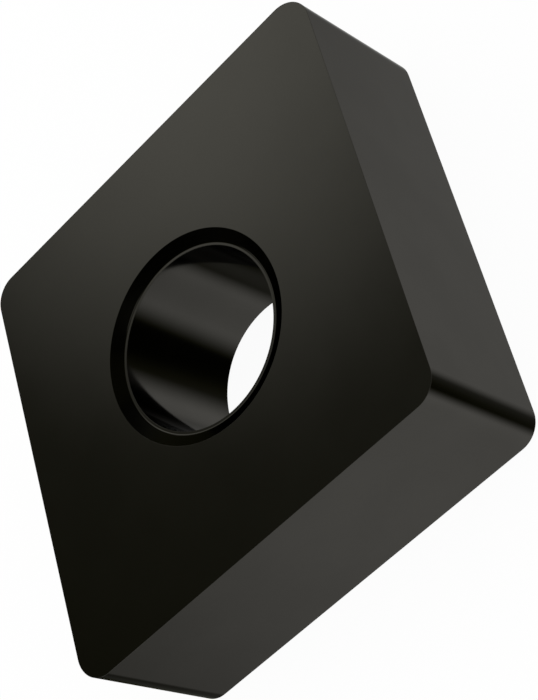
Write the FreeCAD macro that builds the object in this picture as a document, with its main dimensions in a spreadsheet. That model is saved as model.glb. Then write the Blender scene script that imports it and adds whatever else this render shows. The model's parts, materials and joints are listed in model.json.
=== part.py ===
import FreeCAD, Part
import math
import os
import Sketcher

# A negative turning insert: a flat rhombus of sintered carbide under a thin hard coating.
# Its four upright sides are flanks, and its two flat faces are alike, so each corner can cut on
# either side. A bore for the clamping pin runs right through the middle.
# Millimetres and degrees. The origin is the middle of the lower face. +X runs along the long diagonal
# to a sharp corner, +Y along the short diagonal to a blunt one, and +Z up along the bore's axis.

SHEET = "Sizes"
SIZES = {
    "inscribed_circle": (12.7, "diameter of the circle that touches all four flanks"),
    "thickness": (4.76, "from the lower face to the upper one"),
    "point_angle": (80.0, "angle of the two sharp corners"),
    "nose_radius": (0.8, "rounding of the four corners, seen from above"),
    "edge_hone": (0.01, "radius along the cutting edges"),
    "bore_diameter": (5.16, "wall of the clamping bore"),
    "mouth_width": (0.44, "how far each mouth of the bore widens past its wall, on one side"),
    "mouth_depth": (0.2, "from each face down to the flat land round the bore's wall"),
    "mouth_angle": (30.0, "angle between the mouth's cone and the face"),
    "root_rounding": (0.1, "radius between the mouth's cone and the land"),
}

# How a constraint counts a sketch's own axes and origin, and the places on a line or an arc.
X_AXIS, Y_AXIS = range(-1, -3, -1)
ORIGIN = X_AXIS
START, END, CENTRE = range(1, 4)

HALF_TURN = math.pi
QUARTER_TURN = math.pi / 2
FULL_CIRCLE = 360
UP = FreeCAD.Vector(0, 0, 1)


def make_sheet(doc):
    """One row for each driving dimension: its name, its number and what it measures."""
    sheet = doc.addObject("Spreadsheet::Sheet", SHEET)
    for row, (name, (number, meaning)) in enumerate(SIZES.items(), start=1):
        sheet.set(f"A{row}", name)
        sheet.set(f"B{row}", str(number))
        sheet.set(f"C{row}", meaning)
        sheet.setAlias(f"B{row}", name)
    doc.recompute()


def sketch_on(body, role, name):
    """A new sketch that lies on one of the body's own origin planes."""
    plane = next(item for item in body.Origin.OriginFeatures if item.Role == role)
    sketch = body.newObject("Sketcher::SketchObject", name)
    sketch.AttachmentSupport = [(plane, "")]
    sketch.MapMode = "FlatFace"
    return sketch


def at(x, y):
    return FreeCAD.Vector(x, y, 0)


def add_line(sketch, start, end):
    return sketch.addGeometry(Part.LineSegment(start, end), False)


def add_arc(sketch, centre, radius, first, last):
    """An arc that runs counterclockwise from one angle to the other."""
    return sketch.addGeometry(Part.ArcOfCircle(Part.Circle(centre, UP, radius), first, last), False)


def constrain(sketch, kind, *references):
    return sketch.addConstraint(Sketcher.Constraint(kind, *references))


def drive(sketch, size, kind, *references):
    """A dimension of the sketch that follows the sheet. The last reference is its value to start from."""
    index = constrain(sketch, kind, *references)
    sketch.setExpression(f"Constraints[{index}]", size)


def sketch_outline(body, size):
    """The insert from above: four sides that touch the inscribed circle, joined by four equal noses."""
    sketch = sketch_on(body, "XY_Plane", "Outline")
    half_point = math.radians(size["point_angle"]) / 2
    radius = size["nose_radius"]
    inset = size["inscribed_circle"] / 2 - radius
    reach_x = inset / math.sin(half_point)
    reach_y = inset / math.cos(half_point)
    centres = [at(reach_x, 0), at(0, reach_y), at(-reach_x, 0), at(0, -reach_y)]

    # Each nose turns from one flank's outward direction to the next one's.
    lean = QUARTER_TURN - half_point
    outward = [-lean, lean, HALF_TURN - lean, HALF_TURN + lean, 2 * HALF_TURN - lean]
    noses = [add_arc(sketch, *arc) for arc in zip(centres, [radius] * 4, outward, outward[1:])]
    sides = []
    for here, following, angle in zip(centres, centres[1:] + centres[:1], outward[1:]):
        out = at(math.cos(angle), math.sin(angle)) * radius
        sides.append(add_line(sketch, here + out, following + out))

    for corner, nose in enumerate(noses):
        constrain(sketch, "Tangent", sides[corner - 1], END, nose, START)
        constrain(sketch, "Tangent", nose, END, sides[corner], START)
    for nose in noses[1:]:
        constrain(sketch, "Equal", noses[0], nose)
    sharp, blunt, far_sharp, far_blunt = noses
    constrain(sketch, "PointOnObject", sharp, CENTRE, X_AXIS)
    constrain(sketch, "PointOnObject", blunt, CENTRE, Y_AXIS)
    constrain(sketch, "Symmetric", sharp, CENTRE, far_sharp, CENTRE, ORIGIN, START)
    constrain(sketch, "Symmetric", blunt, CENTRE, far_blunt, CENTRE, ORIGIN, START)

    inscribed = sketch.addGeometry(Part.Circle(at(0, 0), UP, size["inscribed_circle"] / 2), True)
    constrain(sketch, "Coincident", inscribed, CENTRE, ORIGIN, START)
    constrain(sketch, "Tangent", sides[0], inscribed)
    drive(sketch, "Sizes.inscribed_circle", "Diameter", inscribed, size["inscribed_circle"])
    drive(sketch, "Sizes.nose_radius", "Radius", sharp, radius)
    drive(sketch, "Sizes.point_angle", "Angle", sides[0], START, sides[3], END, 2 * half_point)
    return sketch


def sketch_bore_section(body, size):
    """Half of the bore cut lengthwise: a straight wall, and at each face a shallow cone that ends in a round
    root and a narrow flat land."""
    sketch = sketch_on(body, "XZ_Plane", "BoreSection")
    top = size["thickness"]
    wall = size["bore_diameter"] / 2
    mouth = wall + size["mouth_width"]
    low = size["mouth_depth"]
    high = top - low
    slope = math.radians(size["mouth_angle"])
    rounding = size["root_rounding"]

    # The root is where cone and land would meet, and the rounding starts one setback from it on both.
    root = mouth - low / math.tan(slope)
    setback = rounding * math.tan(slope / 2)
    land = root - setback
    cone_x = root + setback * math.cos(slope)
    cone_rise = low - setback * math.sin(slope)

    base = add_line(sketch, at(0, 0), at(mouth, 0))
    low_cone = add_line(sketch, at(mouth, 0), at(cone_x, cone_rise))
    low_round = add_arc(sketch, at(land, low - rounding), rounding, QUARTER_TURN - slope, QUARTER_TURN)
    low_land = add_line(sketch, at(land, low), at(wall, low))
    side = add_line(sketch, at(wall, low), at(wall, high))
    high_land = add_line(sketch, at(wall, high), at(land, high))
    high_round = add_arc(sketch, at(land, high + rounding), rounding, -QUARTER_TURN, slope - QUARTER_TURN)
    high_cone = add_line(sketch, at(cone_x, top - cone_rise), at(mouth, top))
    lid = add_line(sketch, at(mouth, top), at(0, top))
    axis = add_line(sketch, at(0, top), at(0, 0))

    constrain(sketch, "Coincident", base, START, ORIGIN, START)
    constrain(sketch, "Coincident", base, END, low_cone, START)
    constrain(sketch, "Tangent", low_cone, END, low_round, START)
    constrain(sketch, "Tangent", low_round, END, low_land, START)
    constrain(sketch, "Coincident", low_land, END, side, START)
    constrain(sketch, "Coincident", side, END, high_land, START)
    constrain(sketch, "Tangent", high_land, END, high_round, START)
    constrain(sketch, "Tangent", high_round, END, high_cone, START)
    constrain(sketch, "Coincident", high_cone, END, lid, START)
    constrain(sketch, "Coincident", lid, END, axis, START)
    constrain(sketch, "Coincident", axis, END, base, START)
    for flat in (base, low_land, high_land, lid):
        constrain(sketch, "Horizontal", flat)
    constrain(sketch, "Vertical", side)
    constrain(sketch, "Vertical", axis)
    constrain(sketch, "Vertical", base, END, lid, START)
    constrain(sketch, "Equal", low_round, high_round)
    drive(sketch, "Sizes.thickness", "DistanceY", axis, END, axis, START, top)
    drive(sketch, "Sizes.bore_diameter / 2", "DistanceX", ORIGIN, START, side, START, wall)
    drive(sketch, "Sizes.mouth_width", "DistanceX", side, START, base, END, size["mouth_width"])
    drive(sketch, "Sizes.mouth_depth", "DistanceY", base, START, side, START, low)
    drive(sketch, "Sizes.mouth_depth", "DistanceY", side, END, axis, START, low)
    drive(sketch, "Sizes.mouth_angle", "Angle", low_cone, START, base, END, slope)
    drive(sketch, "Sizes.mouth_angle", "Angle", lid, START, high_cone, END, slope)
    drive(sketch, "Sizes.root_rounding", "Radius", low_round, rounding)
    return sketch


def face_edges(shape):
    """The names of the edges that lie flat in the upper or the lower face."""
    names = []
    for number, edge in enumerate(shape.Edges, start=1):
        if edge.BoundBox.ZLength < edge.Length / 1000:
            names.append(f"Edge{number}")
    return names


def build_insert(doc, size):
    """The rhombus is raised to its thickness, its cutting edges are honed, and the bore is turned out."""
    body = doc.addObject("PartDesign::Body", "Insert")
    body.Label = "insert"

    blank = body.newObject("PartDesign::Pad", "Blank")
    blank.Profile = sketch_outline(body, size)
    blank.setExpression("Length", "Sizes.thickness")
    doc.recompute()

    hone = body.newObject("PartDesign::Fillet", "Hone")
    hone.Base = (blank, face_edges(blank.Shape))
    hone.setExpression("Radius", "Sizes.edge_hone")
    doc.recompute()

    bore = body.newObject("PartDesign::Groove", "Bore")
    bore.Profile = sketch_bore_section(body, size)
    bore.ReferenceAxis = (bore.Profile[0], ["V_Axis"])
    bore.Angle = FULL_CIRCLE
    body.Tip = bore
    doc.recompute()

    if not bore.Shape.Volume < hone.Shape.Volume < blank.Shape.Volume:
        raise RuntimeError("the hone and the bore each have to take material away")
    body.Placement = FreeCAD.Placement()
    return body


def check(doc, body):
    """Stops before anything is written if a step failed or the insert isn't one sound solid."""
    for item in doc.Objects:
        if "Invalid" in item.State or "Error" in item.State:
            raise RuntimeError(f"{item.Name} failed: {item.State}")
    shape = body.Shape
    if shape.isNull() or not shape.isValid() or len(shape.Solids) != 1:
        raise RuntimeError(f"{body.Label} isn't one valid solid")


def main():
    os.makedirs("parts", exist_ok=True)
    doc = FreeCAD.newDocument("TurningInsert")
    make_sheet(doc)
    size = {name: number for name, (number, meaning) in SIZES.items()}
    body = build_insert(doc, size)
    doc.recompute()
    check(doc, body)
    body.Shape.exportStep(f"parts/{body.Label}.step")
    print(f"{body.Label}: {body.Shape.Volume:.3f} cubic millimetres, {len(body.Shape.Faces)} faces")


main()
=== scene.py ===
import json
import math

import bpy
import numpy as np
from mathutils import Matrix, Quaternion, Vector


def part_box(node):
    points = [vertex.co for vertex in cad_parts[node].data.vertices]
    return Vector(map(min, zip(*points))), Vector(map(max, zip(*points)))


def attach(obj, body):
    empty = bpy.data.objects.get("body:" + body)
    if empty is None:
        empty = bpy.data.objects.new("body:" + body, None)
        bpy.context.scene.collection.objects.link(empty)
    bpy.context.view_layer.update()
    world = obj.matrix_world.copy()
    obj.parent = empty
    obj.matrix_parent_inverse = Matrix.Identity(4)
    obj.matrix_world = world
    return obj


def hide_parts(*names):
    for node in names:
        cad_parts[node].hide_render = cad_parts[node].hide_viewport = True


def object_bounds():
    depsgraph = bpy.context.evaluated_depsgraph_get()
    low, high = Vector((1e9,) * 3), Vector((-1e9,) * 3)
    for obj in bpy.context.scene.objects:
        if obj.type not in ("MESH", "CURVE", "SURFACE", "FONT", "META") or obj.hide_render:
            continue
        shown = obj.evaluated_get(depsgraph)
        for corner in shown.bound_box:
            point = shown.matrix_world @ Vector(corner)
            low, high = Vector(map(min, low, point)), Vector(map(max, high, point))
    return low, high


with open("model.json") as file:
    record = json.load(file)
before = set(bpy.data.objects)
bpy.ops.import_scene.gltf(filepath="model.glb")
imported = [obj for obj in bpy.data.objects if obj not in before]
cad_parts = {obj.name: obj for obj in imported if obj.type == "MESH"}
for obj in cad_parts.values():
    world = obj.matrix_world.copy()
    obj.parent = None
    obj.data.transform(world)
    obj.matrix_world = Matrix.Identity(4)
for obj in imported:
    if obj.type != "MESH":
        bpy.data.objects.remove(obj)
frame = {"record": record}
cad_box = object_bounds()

# A turning insert on a pale floor. The frame gives its outline, thickness and bore, and it is
# rebuilt here as one fine surface, because its mirror-like coating shows every facet of a coarser
# one. Metres and radians, unless a name or a comment says otherwise.

MM = 0.001

# What the frame's mounts don't give. Each mouth of the bore widens by MOUTH_WIDTH past the wall, as
# a cone at MOUTH_ANGLE to the face. Its concave root ends in a flat land round the wall. The lip
# rounds the mouth's rim and the edge between land and wall, and the hone rounds the cutting edges.
MOUTH_WIDTH = 0.44 * MM
MOUTH_ANGLE = math.radians(30)
ROOT_ROUNDING = 0.1 * MM
MOUTH_LIP = 0.01 * MM
EDGE_HONE = 0.01 * MM

# Columns of the insert's surface on each nose and each flank, and its rows on each rounding, on
# each face, and on half of the bore's wall or of a flank's height.
NOSE_STEPS = 20
SIDE_STEPS = 60
ROUND_STEPS = 8
FACE_STEPS = 12
WALL_STEPS = 6

# The coating's two tones, how it tints what it mirrors at a low angle, and its roughness where it
# is most and least glossy.
COATING_DARK = (0.0535, 0.0517, 0.0483, 1.0)
COATING_PALE = (0.0679, 0.0657, 0.0613, 1.0)
GRAZING_TINT = (0.5, 0.5, 0.5, 1.0)
COATING_ROUGHNESS = (0.09, 0.11)
# Its fine grain and its slow drift, the cloud, each with the size of its spots and its number of
# finer layers. The tone is the grain times GRAIN_SHARE, plus a share that goes from the first to
# the second of CLOUD_SHARES as the cloud goes from the first to the second of CLOUD_LEVELS.
GRAIN_SIZE, GRAIN_LAYERS = 0.03 * MM, 2.0
CLOUD_SIZE, CLOUD_LAYERS = 2 * MM, 3.0
GRAIN_SHARE = 0.5
CLOUD_LEVELS = (0.3, 0.7)
CLOUD_SHARES = (0.13, 0.37)

# The photograph's camera: its place, the way that it looks and its turn about that line, in
# degrees, its lens in millimetres, its shift in shares of the picture's longer side, and how near
# and how far it sees.
CAMERA_PLACE = Vector((3.900, 35.566, 41.287)) * MM
VIEW_AZIMUTH = -94.815
VIEW_ELEVATION = -46.507
VIEW_ROLL = -69.770
LENS_MM = 98.515
LENS_SHIFT = (0.08494, 0.03966)
CAMERA_CLIP = (1 * MM, 10)

# The studio. A direction in it is an azimuth and an elevation in degrees.
STRAIGHT_UP = (0, 90)
# Its light cards are far away, so each is given by the direction of its middle, its half width and
# half height and how far its edge fades to both sides, all in degrees, and its strength.
CARDS = {
    "upper lamp": (-110.7, 42.2, 10.7, 6.0, 6.7, 7.1, 1.13),
    "glow of the upper lamp": (-100.6, 35.0, 5.0, 29.3, 28.6, 26.5, 0.28),
    "lower right card": (39.5, -60.1, 26.1, 19.4, 9.7, 17.5, 0.97),
    "lower left card": (186.4, -52.6, 16.5, 17.4, 14.1, 15.2, 1.09),
    "left edge card": (-142.0, -49.0, 26.0, 9.0, 10.0, 6.0, 0.74),
    "right edge card": (-12.0, -58.0, 14.0, 10.0, 12.0, 3.0, 0.33),
    "glow of the right edge": (-62.0, -58.0, 36.0, 10.0, 12.0, 3.0, 0.2),
    "sheen of the table": (92.7, -90.0, 41.0, 29.7, 10.0, 13.4, 0.2),
    "lower sheen of the cloth": (-126.0, 10.0, 18.0, 18.0, 12.0, 10.0, 0.04),
    "upper sheen of the cloth": (178.0, 57.0, 14.0, 12.0, 6.0, 6.0, 0.02),
    "low lamp": (-93.0, 17.0, 14.0, 7.0, 8.0, 7.0, 0.6),
    "middle lamp": (-96.0, 28.0, 27.0, 4.5, 5.0, 3.0, 0.7),
    "ceiling lamp": (0.0, 90.0, 7.0, 7.0, 3.0, 3.0, 0.7),
}
# The pale room round them. It shines from FLOOR_LINE up, each line a middle and a fade to both
# sides, in degrees. Above TABLE_LINE a black cloth hangs behind the upper lamp: the part of an
# upright band, given like a card, that lies within CLOTH_REACH of CLOTH_MIDDLE. The room is
# brightest at BRIGHT_SIDE and opposite it, and dim square to it. No way is darker than ROOM_GLOW.
FLOOR_LINE = (-36, 4)
TABLE_LINE = (-5, 4)
CLOTH_MIDDLE = (-95, 46)
CLOTH_REACH = (61, 3)
CLOTH_BAND = (-96, 66, 45, 90, 2, 1)
BRIGHT_SIDE = (20, 0)
ROOM_DIM, ROOM_BRIGHT = 0.4, 0.95
ROOM_GLOW = 0.0043
# The light's blue lacks BLUE_LOSS, so the dimmer the light, the warmer it is, but LEAST_BLUE of it
# always stays. Above WARM_LINE only WARM_BLUE of that is left.
BLUE_LOSS = 0.027
LEAST_BLUE = 0.4
WARM_BLUE = 0.945
WARM_LINE = (5, 15)

# The white behind the insert, which also lights everything that isn't a mirror. The floor has its
# paper's own white, the strength of the shadow that it keeps, its half length in half lengths of
# the insert, and the gap between the two.
BACKDROP = (1.0, 1.0, 1.0, 1.0)
FLOOR_WHITE = (0.95, 0.95, 0.95, 1.0)
FLOOR_SHADOW = 0.05
FLOOR_REACH = 40
FLOOR_GAP = 0.02 * MM

# Where a Mix node takes its share and its two colours, and where the blend comes out.
MIX_SHARE, MIX_FIRST, MIX_SECOND, MIX_RESULT = 0, 6, 7, 2


# Nodes


def node(tree, kind, sockets=(), result=0, **settings):
    """Adds a node and returns one of its outputs. A socket gets a value, or the output that feeds
    it."""
    new = tree.nodes.new(kind)
    for name, value in settings.items():
        setattr(new, name, value)
    for name, value in dict(sockets).items():
        if isinstance(value, bpy.types.NodeSocket):
            tree.links.new(value, new.inputs[name])
        else:
            new.inputs[name].default_value = value
    return new.outputs[result]


def calc(tree, operation, *terms):
    return node(tree, "ShaderNodeMath", enumerate(terms), operation=operation)


def fade(tree, value, low, high, start, end):
    """A smooth step from start to end, as the value goes from low to high."""
    sockets = {"Value": value, "From Min": low, "From Max": high, "To Min": start, "To Max": end}
    return node(tree, "ShaderNodeMapRange", sockets, interpolation_type="SMOOTHSTEP")


def noise(tree, place, size, layers):
    """Soft spots of about the given size, between 0 and 1."""
    sockets = {"Vector": place, "Scale": 1 / size, "Detail": layers}
    return node(tree, "ShaderNodeTexNoise", sockets)


def blend_colours(tree, share, first, second):
    sockets = {MIX_SHARE: share, MIX_FIRST: first, MIX_SECOND: second}
    return node(tree, "ShaderNodeMix", sockets, result=MIX_RESULT, data_type="RGBA")


def blend_surfaces(tree, share, first, second):
    return node(tree, "ShaderNodeMixShader", enumerate((share, first, second)))


# The insert


def add_mesh(name, points, faces, material):
    """An object at the origin, whose place is in its mesh."""
    mesh = bpy.data.meshes.new(name)
    mesh.from_pydata(points, [], faces)
    mesh.materials.append(material)
    piece = bpy.data.objects.new(name, mesh)
    bpy.context.collection.objects.link(piece)
    return piece


def read_sizes():
    """The outline, thickness and bore, from the record's mounts and the solid's own box."""
    mounts = {mount["name"]: mount for mount in frame["record"]["mounts"]}
    flank, bore = mounts["back_right_flank"], mounts["clamping_bore"]
    low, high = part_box("insert")
    reach = Vector(flank["pos_m"]).dot(Vector(flank["axis"]))
    lean = math.atan2(flank["axis"][1], flank["axis"][0])
    # The tip lies at (reach - nose) / cos(lean) + nose from the axis.
    nose = (reach / math.cos(lean) - high[0]) / (1 / math.cos(lean) - 1)
    return {
        "reach": reach,
        "lean": lean,
        "nose": nose,
        "half": (high[2] - low[2]) / 2,
        "wall": bore["dims"]["r_mm"] * MM,
        "wall_end": bore["dims"]["length_mm"] * MM / 2,
    }


def outline(size):
    """Round the insert seen from above: the carried centre of the nose's arc, and the way outwards.
    On a nose the centre rests and the way turns. Along a flank the way rests and the centre moves
    on."""
    lean, inset = size["lean"], size["reach"] - size["nose"]
    far, near = inset / math.cos(lean), inset / math.sin(lean)
    centres = np.array([(far, 0), (0, near), (-far, 0), (0, -near), (far, 0)])
    turns = np.array([-lean, lean, math.pi - lean, math.pi + lean, 2 * math.pi - lean])
    onward = np.linspace(0, 1, SIDE_STEPS, endpoint=False)[:, None]
    centre, way = [], []
    for here, following, turn, next_turn in zip(centres, centres[1:], turns, turns[1:]):
        centre += [np.tile(here, (NOSE_STEPS, 1)), here + onward * (following - here)]
        way += [np.linspace(turn, next_turn, NOSE_STEPS, endpoint=False)]
        way += [np.full(SIDE_STEPS, next_turn)]
    way = np.concatenate(way)
    return np.concatenate(centre), np.stack([np.cos(way), np.sin(way)], axis=-1)


def half_section(size):
    """From the middle of the bore's wall up over its mouth and the upper face, and half way down
    the flank. Each row has its share of the rim, its radius in the bore, its inset from the rim,
    its height above the middle, and its tilt: how far the surface there has turned from upright to
    face up. On a rounding, radius and height follow the cosine and the sine of the tilt."""
    half, wall, wall_end = size["half"], size["wall"], size["wall_end"]
    steep, flat = math.pi / 2 - MOUTH_ANGLE, math.pi / 2
    cone_run = (half - wall_end) / math.tan(MOUTH_ANGLE)
    land = wall + MOUTH_WIDTH - cone_run - ROOT_ROUNDING * math.tan(MOUTH_ANGLE / 2)
    lip = wall + MOUTH_WIDTH + MOUTH_LIP * math.tan(MOUTH_ANGLE / 2)
    rise = np.linspace(0, 1, WALL_STEPS, endpoint=False)
    corner = np.linspace(0, flat, ROUND_STEPS)
    root = np.linspace(flat, steep, ROUND_STEPS)
    rim = np.linspace(steep, flat, ROUND_STEPS)
    across = (1 - np.cos(np.linspace(0, math.pi, FACE_STEPS + 1))) / 2
    hone = np.linspace(flat, 0, ROUND_STEPS)
    drop = np.linspace(1, 0, WALL_STEPS)[1:]

    corner_radius = wall + MOUTH_LIP * (1 - np.cos(corner))
    corner_height = wall_end - MOUTH_LIP * (1 - np.sin(corner))
    root_radius = land + ROOT_ROUNDING * np.cos(root)
    root_height = wall_end + ROOT_ROUNDING * (1 - np.sin(root))
    rim_radius = lip - MOUTH_LIP * np.cos(rim)
    rim_height = half - MOUTH_LIP * (1 - np.sin(rim))
    hone_inset = EDGE_HONE * (1 - np.cos(hone))
    hone_height = half - EDGE_HONE * (1 - np.sin(hone))
    stretches = [
        (0, wall, 0, (wall_end - MOUTH_LIP) * rise, 0),
        (0, corner_radius, 0, corner_height, corner),
        (0, root_radius, 0, root_height, root),
        (0, rim_radius, 0, rim_height, rim),
        (across[1:-1], lip, EDGE_HONE, half, flat),
        (1, 0, hone_inset, hone_height, hone),
        (1, 0, 0, (half - EDGE_HONE) * drop, 0),
    ]
    rows = [np.stack(np.broadcast_arrays(*stretch), axis=-1) for stretch in stretches]
    return np.concatenate([np.atleast_2d(row) for row in rows])


def insert_surface(size):
    """A closed surface P(u, v): u runs round the outline, and v round the section from the bore's
    wall over the upper face to the flank, and back under the lower face. With e the way from the
    axis, c the carried centre, n the way outwards, and the section's share s, radius r and inset d,
    its place seen from above is (1 - s) r e + s (c + (nose - d) n). Its direction leans the side's
    own, n on the rim and -e before it, up by the tilt."""
    centre, out = outline(size)
    rim = centre + size["nose"] * out
    spoke = rim / np.linalg.norm(rim, axis=-1, keepdims=True)
    upper = half_section(size)
    upside_down = (1, 1, 1, -1, -1)
    lower = upper[-2:0:-1] * upside_down
    share, radius, inset, height, tilt = np.concatenate([upper, lower]).T[:, :, None, None]
    plan = (1 - share) * radius * spoke + share * (centre + (size["nose"] - inset) * out)
    side = np.where(share < 1, -spoke, out)
    level = np.broadcast_to(height + size["half"], plan[..., :1].shape)
    up = np.broadcast_to(np.sin(tilt), level.shape)
    points = np.concatenate([plan, level], axis=-1)
    return points, np.concatenate([side * np.cos(tilt), up], axis=-1)


def make_insert(material):
    """One closed mesh, joined to itself both ways round, with the surface's own directions on its
    corners."""
    points, directions = insert_surface(read_sizes())
    rows, columns = points.shape[:2]
    here = np.arange(rows * columns).reshape(rows, columns)
    above = np.roll(here, -1, axis=0)
    faces = [here, above, np.roll(above, -1, axis=1), np.roll(here, -1, axis=1)]
    faces = np.stack(faces, axis=-1).reshape(-1, 4)
    insert = add_mesh("coated_insert", points.reshape(-1, 3), faces, material)
    insert.data.shade_smooth()
    insert.data.normals_split_custom_set_from_vertices(directions.reshape(-1, 3))
    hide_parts("insert")
    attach(insert, "root")


def black_coating():
    """A smooth hard coating, nearly black, that mirrors light evenly at every angle. Under it lies
    the fine grain of the pressed carbide, and its tone and its gloss drift a little from place to
    place."""
    material = bpy.data.materials.new("black_coating")
    material.use_nodes = True
    tree = material.node_tree
    shader = tree.nodes["Principled BSDF"]
    place = tree.nodes.new("ShaderNodeTexCoord").outputs["Object"]
    grain = noise(tree, place, GRAIN_SIZE, GRAIN_LAYERS)
    cloud = noise(tree, place, CLOUD_SIZE, CLOUD_LAYERS)
    drift = fade(tree, cloud, *CLOUD_LEVELS, *CLOUD_SHARES)
    tone = calc(tree, "MULTIPLY_ADD", grain, GRAIN_SHARE, drift)
    colour = blend_colours(tree, tone, COATING_DARK, COATING_PALE)
    roughness = fade(tree, cloud, *CLOUD_LEVELS, *COATING_ROUGHNESS)
    shader.inputs["Metallic"].default_value = 1.0
    shader.inputs["Specular Tint"].default_value = GRAZING_TINT
    tree.links.new(colour, shader.inputs["Base Color"])
    tree.links.new(roughness, shader.inputs["Roughness"])
    return material


# The studio


def way_towards(azimuth, elevation):
    """A unit length in a direction given in degrees. Its height is the sine of the elevation, and
    the cosine of the elevation lies level, at the azimuth."""
    turn, lift = math.radians(azimuth), math.radians(elevation)
    level = math.cos(lift)
    return Vector((level * math.cos(turn), level * math.sin(turn), math.sin(lift)))


def make_camera():
    look = way_towards(VIEW_AZIMUTH, VIEW_ELEVATION)
    roll = Quaternion((0, 0, 1), math.radians(VIEW_ROLL))
    camera = bpy.data.objects.new("camera", bpy.data.cameras.new("camera"))
    camera.location = CAMERA_PLACE
    camera.rotation_mode = "QUATERNION"
    camera.rotation_quaternion = look.to_track_quat("-Z", "Y") @ roll
    camera.data.lens = LENS_MM
    camera.data.shift_x, camera.data.shift_y = LENS_SHIFT
    camera.data.clip_start, camera.data.clip_end = CAMERA_CLIP
    bpy.context.collection.objects.link(camera)
    bpy.context.scene.camera = camera


def along(tree, direction, azimuth, elevation):
    """The share of a direction that points the way given in degrees: the cosine of the angle
    between them."""
    product = tree.nodes.new("ShaderNodeVectorMath")
    product.operation = "DOT_PRODUCT"
    tree.links.new(direction, product.inputs[0])
    product.inputs[1].default_value = way_towards(azimuth, elevation)
    return product.outputs["Value"]


def line(tree, angle, middle, soft, start, end):
    """A change from start to end that fades to both sides of a line, which lies at an angle in
    degrees."""
    return fade(tree, angle, math.radians(middle - soft), math.radians(middle + soft), start, end)


def light_card(
    tree, direction, azimuth, elevation, half_width, half_height, fade_across, fade_up, strength
):
    """How brightly one card shines from a direction: its strength, as far as the angles across and
    up from its middle lie within its half width and half height."""
    middle = along(tree, direction, azimuth, elevation)
    sideways = along(tree, direction, azimuth + 90, 0)
    upwards = along(tree, direction, azimuth, elevation + 90)
    light = strength
    for side, half, soft in ((sideways, half_width, fade_across), (upwards, half_height, fade_up)):
        angle = calc(tree, "ABSOLUTE", calc(tree, "ARCTAN2", side, middle))
        edge = line(tree, angle, half, soft, 1.0, 0.0)
        light = calc(tree, "MULTIPLY", edge, light)
    return light


def light_room(tree, direction, height):
    """How brightly the pale room shines from a direction and its height: the square of the share
    along BRIGHT_SIDE takes it from dim to bright, above the floor and where no cloth hangs."""
    from_middle = calc(tree, "ARCCOSINE", along(tree, direction, *CLOTH_MIDDLE))
    band = light_card(tree, direction, *CLOTH_BAND, 1.0)
    cloth = calc(tree, "MULTIPLY", line(tree, from_middle, *CLOTH_REACH, 1.0, 0.0), band)
    below_table = line(tree, height, *TABLE_LINE, 1.0, 0.0)
    open_part = calc(tree, "MAXIMUM", below_table, calc(tree, "SUBTRACT", 1.0, cloth))
    share = calc(tree, "ABSOLUTE", along(tree, direction, *BRIGHT_SIDE))
    squared = calc(tree, "POWER", share, 2.0)
    level = calc(tree, "MULTIPLY_ADD", squared, ROOM_BRIGHT - ROOM_DIM, ROOM_DIM)
    above_floor = calc(tree, "MULTIPLY", line(tree, height, *FLOOR_LINE, 0.0, 1.0), open_part)
    return calc(tree, "MULTIPLY", above_floor, level)


def light_studio():
    """White for the camera and for the surfaces, and for their gloss the brightest of the cards and
    the room in each direction. The cards are only mirrored, so none is sampled as a lamp."""
    world = bpy.data.worlds.new("studio")
    bpy.context.scene.world = world
    world.use_nodes = True
    world.cycles.sampling_method = "NONE"
    tree = world.node_tree
    direction = tree.nodes.new("ShaderNodeTexCoord").outputs["Generated"]
    height = calc(tree, "ARCSINE", along(tree, direction, *STRAIGHT_UP))
    cards = ROOM_GLOW
    for card in CARDS.values():
        cards = calc(tree, "MAXIMUM", light_card(tree, direction, *card), cards)
    cards = calc(tree, "MAXIMUM", light_room(tree, direction, height), cards)
    least = calc(tree, "MULTIPLY", cards, LEAST_BLUE)
    blue = calc(tree, "MAXIMUM", calc(tree, "SUBTRACT", cards, BLUE_LOSS), least)
    blue = calc(tree, "MULTIPLY", blue, line(tree, height, *WARM_LINE, 1.0, WARM_BLUE))
    tinted = node(tree, "ShaderNodeCombineColor", {"Red": cards, "Green": cards, "Blue": blue})
    gloss = tree.nodes.new("ShaderNodeLightPath").outputs["Is Glossy Ray"]
    light = blend_colours(tree, gloss, BACKDROP, tinted)
    tree.links.new(light, tree.nodes["Background"].inputs["Color"])


def white_sheet():
    """Paper that shines by itself but keeps a faint shadow. It is clear from below, so that the
    lower face can be seen."""
    material = bpy.data.materials.new("white_sheet")
    material.use_nodes = True
    tree = material.node_tree
    tree.nodes.remove(tree.nodes["Principled BSDF"])
    seen = tree.nodes.new("ShaderNodeLightPath").outputs["Is Camera Ray"]
    below = tree.nodes.new("ShaderNodeNewGeometry").outputs["Backfacing"]
    paper = node(tree, "ShaderNodeBsdfDiffuse", {"Color": FLOOR_WHITE})
    glow = node(tree, "ShaderNodeEmission", {"Color": BACKDROP})
    clear = node(tree, "ShaderNodeBsdfTransparent")
    lit = blend_surfaces(tree, calc(tree, "MULTIPLY", seen, 1 - FLOOR_SHADOW), paper, glow)
    sheet = blend_surfaces(tree, below, lit, clear)
    tree.links.new(sheet, tree.nodes["Material Output"].inputs["Surface"])
    return material


def make_floor(material):
    """A wide flat sheet just under the insert, whose coating mirrors the studio and not the
    sheet."""
    reach = FLOOR_REACH * cad_box[1][0]
    corners = [(x * reach, y * reach, -FLOOR_GAP) for x, y in ((-1, -1), (1, -1), (1, 1), (-1, 1))]
    floor = add_mesh("floor", corners, [(0, 1, 2, 3)], material)
    floor.visible_glossy = False


make_camera()
light_studio()
make_floor(white_sheet())
make_insert(black_coating())
bpy.context.scene.view_settings.view_transform = "Standard"
